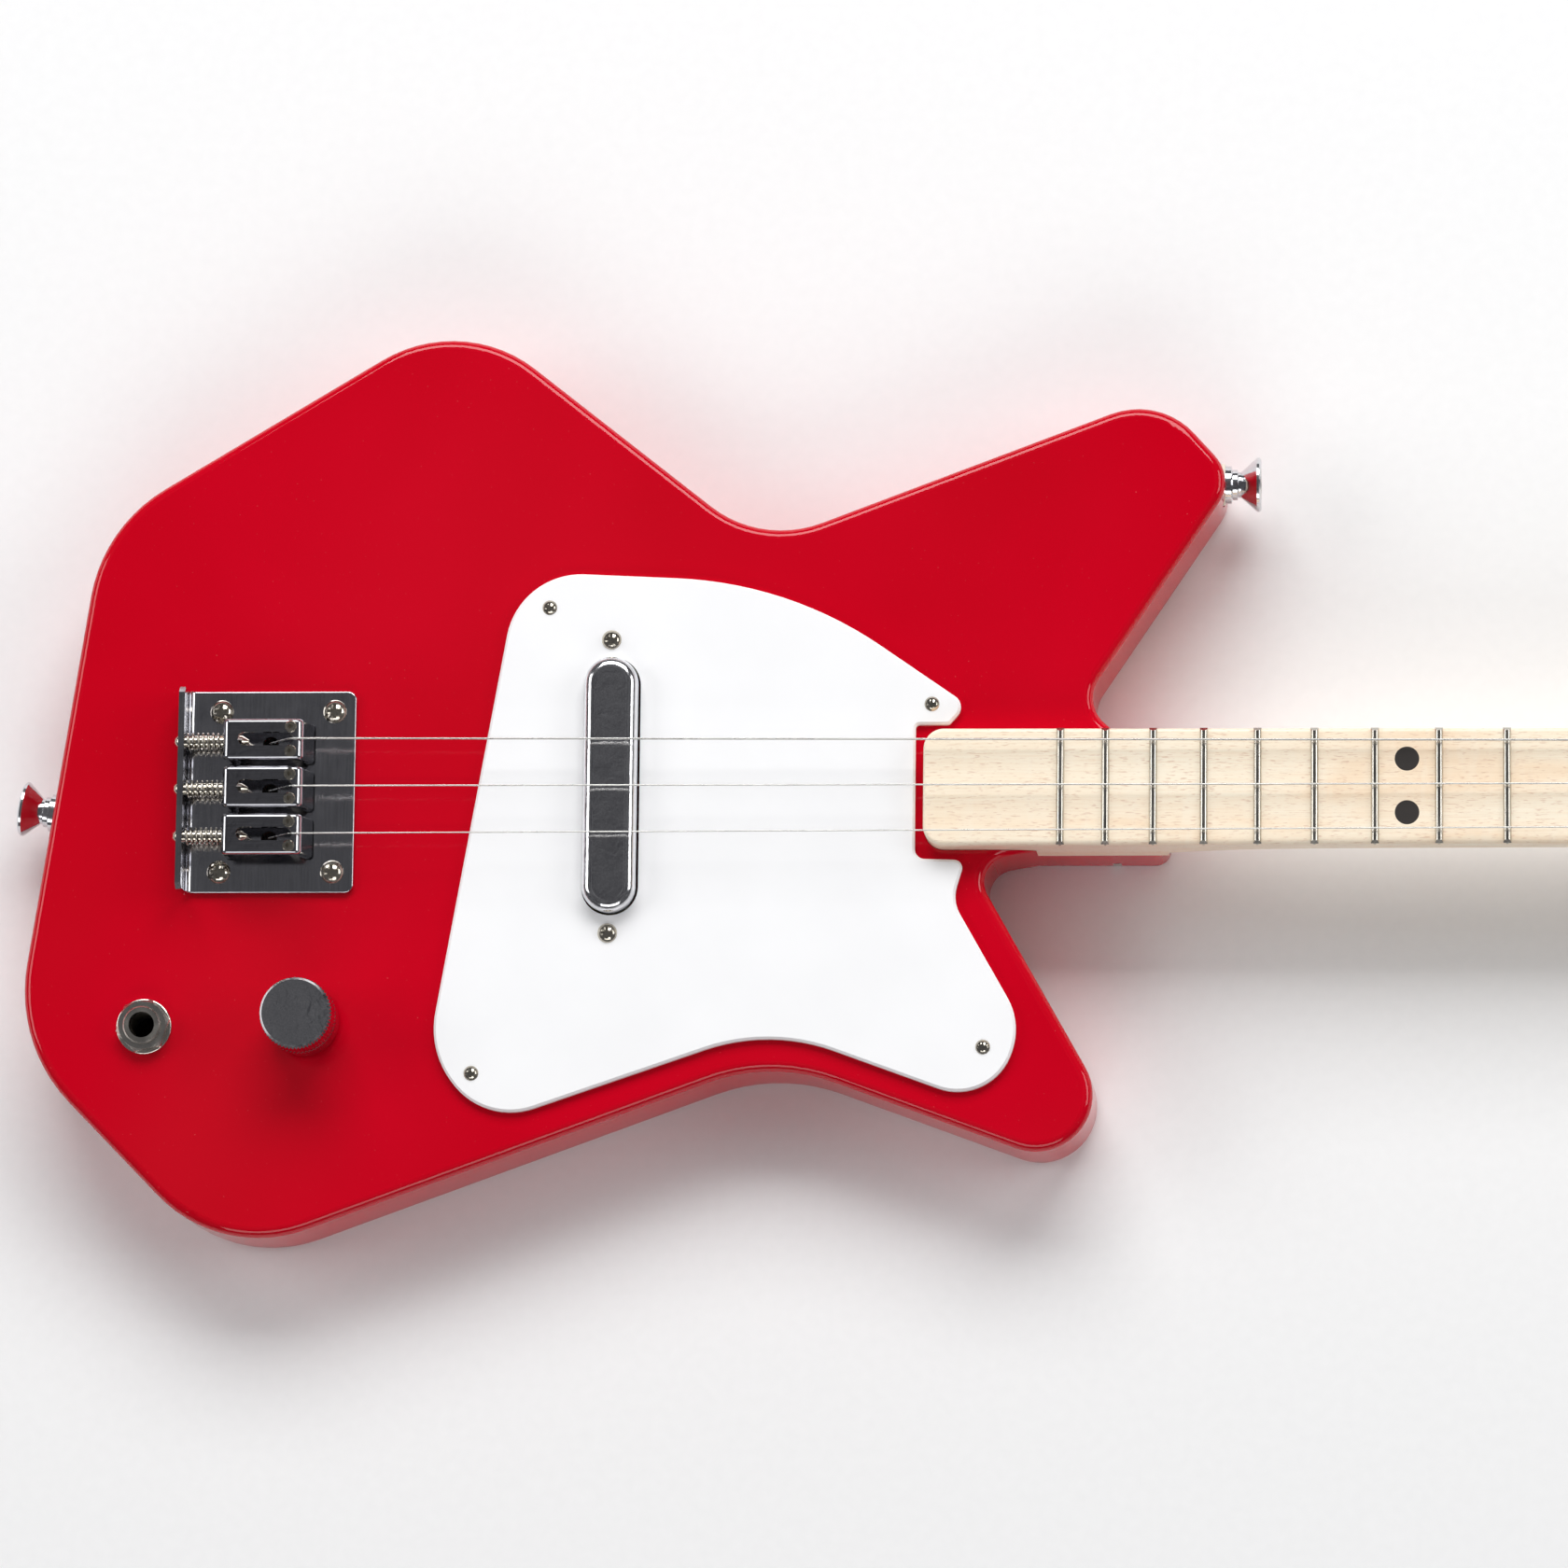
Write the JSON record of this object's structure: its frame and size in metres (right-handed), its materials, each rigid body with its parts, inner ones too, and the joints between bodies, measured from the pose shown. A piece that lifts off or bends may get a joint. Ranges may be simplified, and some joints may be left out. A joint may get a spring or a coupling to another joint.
{
  "type": "toy electric guitar",
  "caption": "Small solid-body electric guitar with bolt-on maple neck, tube pickup, steel bridge, adjustable saddles, knurled volume knob and open-geared tuners.",
  "frame": {"origin": "on the flat back face of the body, below the middle string, at the theoretical saddle line", "axes": "+X along the strings towards the headstock, +Y towards the thickest string's side, +Z out of the face"},
  "size_m": [0.7147, 0.2262, 0.0465],
  "materials": {
    "red_lacquer": "gloss lacquer",
    "maple": "satin",
    "fret_wire": "polished",
    "inlay": "satin",
    "nut_plastic": "satin",
    "truss_steel": "plain",
    "guard_white": "gloss",
    "chrome_cover": "polished",
    "coil_copper": "enamelled wire",
    "magnet_alloy": "ground",
    "bracket_brass": "plain",
    "bridge_steel": "polished, fine scratches",
    "saddle_steel": "polished",
    "screw_steel": "polished",
    "spring_steel": "plain",
    "string_steel": "plain",
    "ferrule_nickel": "satin",
    "knob_chrome": "knurled",
    "pot_metal": "satin",
    "brass_shaft": "turned",
    "nut_nickel": "polished",
    "socket_nickel": "polished",
    "contact_metal": "plain",
    "lead_insulation": "satin",
    "cover_black": "fine texture",
    "button_chrome": "polished",
    "felt": "felt",
    "tuner_plate_nickel": "satin",
    "tuner_post_nickel": "polished",
    "tuner_worm_steel": "turned",
    "tuner_button_metal": "polished"
  },
  "bodies": {
    "instrument": {"body": "red_lacquer", "bridge_plate": "bridge_steel", "bridge_screws": "screw_steel", "control_cover": "cover_black", "cover_screws": "screw_steel", "fret_markers": "inlay", "frets": "fret_wire", "intonation_springs": "spring_steel", "jack_contacts": "contact_metal", "jack_nut": "nut_nickel", "jack_sleeve": "socket_nickel", "neck": "maple", "neck_bolts": "screw_steel", "neck_ferrules": "ferrule_nickel", "nut": "nut_plastic", "pickguard": "guard_white", "pickguard_screws": "screw_steel", "pickup_bracket": "bracket_brass", "pickup_coil": "coil_copper", "pickup_cover": "chrome_cover", "pickup_magnet": "magnet_alloy", "pickup_screws": "screw_steel", "pickup_springs": "spring_steel", "pot_housing": "pot_metal", "pot_nut": "nut_nickel", "strap_button_screws": "screw_steel", "strap_buttons": "button_chrome", "strap_felts": "felt", "string_1": "string_steel", "string_2": "string_steel", "string_3": "string_steel", "string_ferrules": "ferrule_nickel", "truss_rod": "truss_steel", "tuner_base_1": "tuner_plate_nickel", "tuner_base_2": "tuner_plate_nickel", "tuner_base_3": "tuner_plate_nickel", "tuner_bushings": "ferrule_nickel", "tuner_screws": "screw_steel", "wiring": "lead_insulation"},
    "volume_control": {"volume_knob": "knob_chrome", "knob_set_screw": "screw_steel", "pot_shaft": "brass_shaft"},
    "saddle_1": {"saddle_1": "saddle_steel", "height_screws_1": "screw_steel"},
    "intonation_screw_1": {"intonation_screw_1": "screw_steel"},
    "saddle_2": {"saddle_2": "saddle_steel", "height_screws_2": "screw_steel"},
    "intonation_screw_2": {"intonation_screw_2": "screw_steel"},
    "saddle_3": {"saddle_3": "saddle_steel", "height_screws_3": "screw_steel"},
    "intonation_screw_3": {"intonation_screw_3": "screw_steel"},
    "tuner_post_1": {"tuner_post_1": "tuner_post_nickel"},
    "tuner_button_1": {"tuner_worm_1": "tuner_worm_steel", "tuner_button_1": "tuner_button_metal"},
    "tuner_post_2": {"tuner_post_2": "tuner_post_nickel"},
    "tuner_button_2": {"tuner_worm_2": "tuner_worm_steel", "tuner_button_2": "tuner_button_metal"},
    "tuner_post_3": {"tuner_post_3": "tuner_post_nickel"},
    "tuner_button_3": {"tuner_worm_3": "tuner_worm_steel", "tuner_button_3": "tuner_button_metal"}
  },
  "joints": [
    {"name": "volume_turn", "type": "hinge", "parent": "instrument", "child": "volume_control", "pos_m": [-0.0008, -0.0575, 0.04], "axis": [0, 0, 1], "range_deg": [-140, 140]},
    {"name": "intonation_turn_1", "type": "hinge", "parent": "instrument", "child": "intonation_screw_1", "pos_m": [-0.0327, 0.0119, 0.034], "axis": [-1, 0, 0], "range_deg": [0, 2881]},
    {"name": "saddle_slide_1", "type": "slide", "parent": "instrument", "child": "saddle_1", "axis": [1, 0, 0], "range_m": [0, 0.004], "deforming": ["intonation_springs"]},
    {"name": "intonation_turn_2", "type": "hinge", "parent": "instrument", "child": "intonation_screw_2", "pos_m": [-0.0327, 0, 0.034], "axis": [-1, 0, 0], "range_deg": [0, 2881]},
    {"name": "saddle_slide_2", "type": "slide", "parent": "instrument", "child": "saddle_2", "axis": [1, 0, 0], "range_m": [0, 0.004], "deforming": ["intonation_springs"]},
    {"name": "intonation_turn_3", "type": "hinge", "parent": "instrument", "child": "intonation_screw_3", "pos_m": [-0.0327, -0.0119, 0.034], "axis": [-1, 0, 0], "range_deg": [0, 2881]},
    {"name": "saddle_slide_3", "type": "slide", "parent": "instrument", "child": "saddle_3", "axis": [1, 0, 0], "range_m": [0, 0.004], "deforming": ["intonation_springs"]},
    {"name": "button_turn_1", "type": "hinge", "parent": "instrument", "child": "tuner_button_1", "pos_m": [0.57241, 0.01019, 0.0128], "axis": [0.3704, 0.9289, 0], "continuous": true},
    {"name": "post_turn_1", "type": "hinge", "parent": "instrument", "child": "tuner_post_1", "pos_m": [0.566, 0.01275, 0.0128], "axis": [0, 0, 1], "continuous": true},
    {"name": "button_turn_2", "type": "hinge", "parent": "instrument", "child": "tuner_button_2", "pos_m": [0.59749, 0.00019, 0.0128], "axis": [0.3704, 0.9289, 0], "continuous": true},
    {"name": "post_turn_2", "type": "hinge", "parent": "instrument", "child": "tuner_post_2", "pos_m": [0.59108, 0.00275, 0.0128], "axis": [0, 0, 1], "continuous": true},
    {"name": "button_turn_3", "type": "hinge", "parent": "instrument", "child": "tuner_button_3", "pos_m": [0.62257, -0.00981, 0.0128], "axis": [0.3704, 0.9289, 0], "continuous": true},
    {"name": "post_turn_3", "type": "hinge", "parent": "instrument", "child": "tuner_post_3", "pos_m": [0.61616, -0.00725, 0.0128], "axis": [0, 0, 1], "continuous": true}
  ],
  "couplings": [
    {"joint": "intonation_turn_1", "follows": "saddle_slide_1", "rad_per_m": 12566},
    {"joint": "intonation_turn_2", "follows": "saddle_slide_2", "rad_per_m": 12566},
    {"joint": "intonation_turn_3", "follows": "saddle_slide_3", "rad_per_m": 12566},
    {"joint": "post_turn_1", "follows": "button_turn_1", "ratio": -0.071429},
    {"joint": "post_turn_2", "follows": "button_turn_2", "ratio": -0.071429},
    {"joint": "post_turn_3", "follows": "button_turn_3", "ratio": -0.071429}
  ]
}
